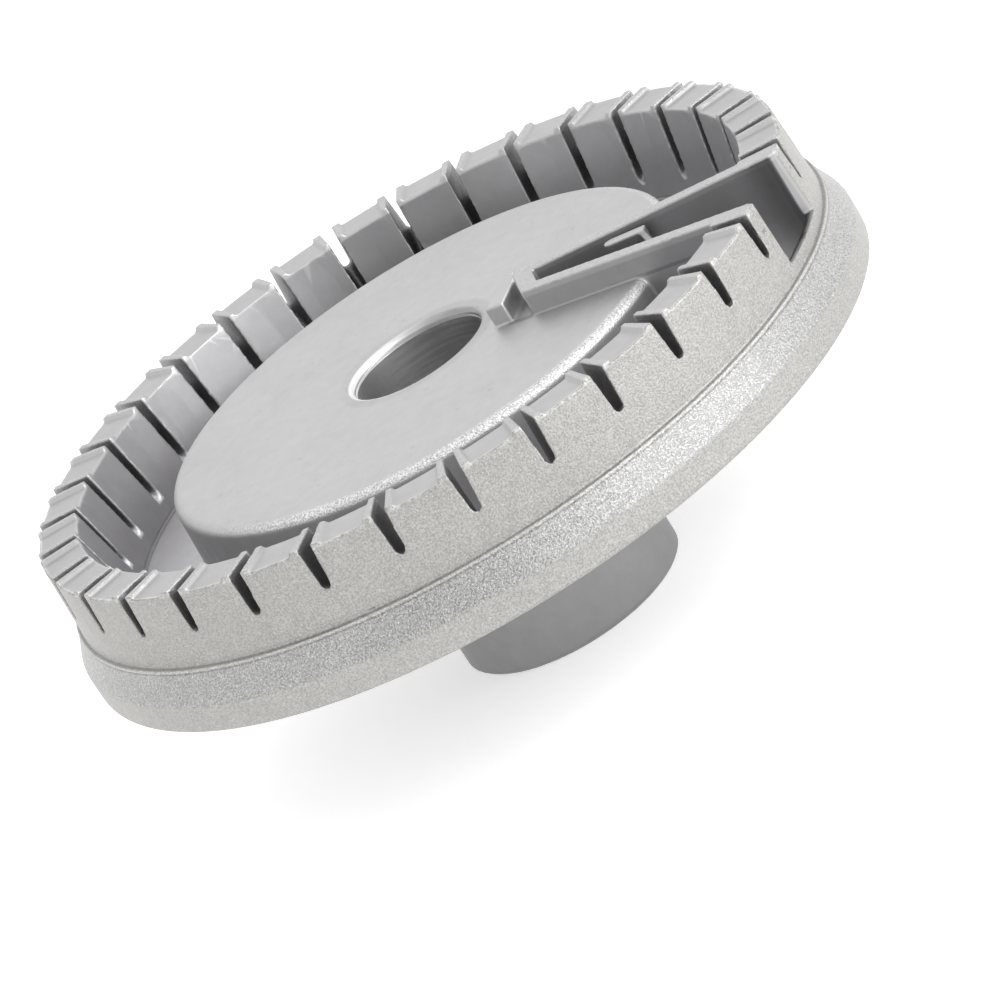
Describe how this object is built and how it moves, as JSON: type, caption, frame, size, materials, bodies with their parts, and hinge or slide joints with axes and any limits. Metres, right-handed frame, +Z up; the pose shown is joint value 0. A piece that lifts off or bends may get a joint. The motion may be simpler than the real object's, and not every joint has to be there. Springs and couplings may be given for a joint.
{
  "type": "gas burner base",
  "caption": "Round cast burner crown with a ring of slotted flame ports, an open electrode pocket and a central feed tube below.",
  "frame": {"origin": "centre of the feed tube's lower end", "axes": "+Z up along the tube's axis towards the crown, +X through the middle of the electrode pocket"},
  "size_m": [0.097, 0.0968, 0.037],
  "materials": {
    "burner_base": "bare die-cast, fine sandy grain outside, smooth matt plateau, turned bore"
  },
  "bodies": {
    "root": {"burner_base": "burner_base"}
  },
  "joints": []
}
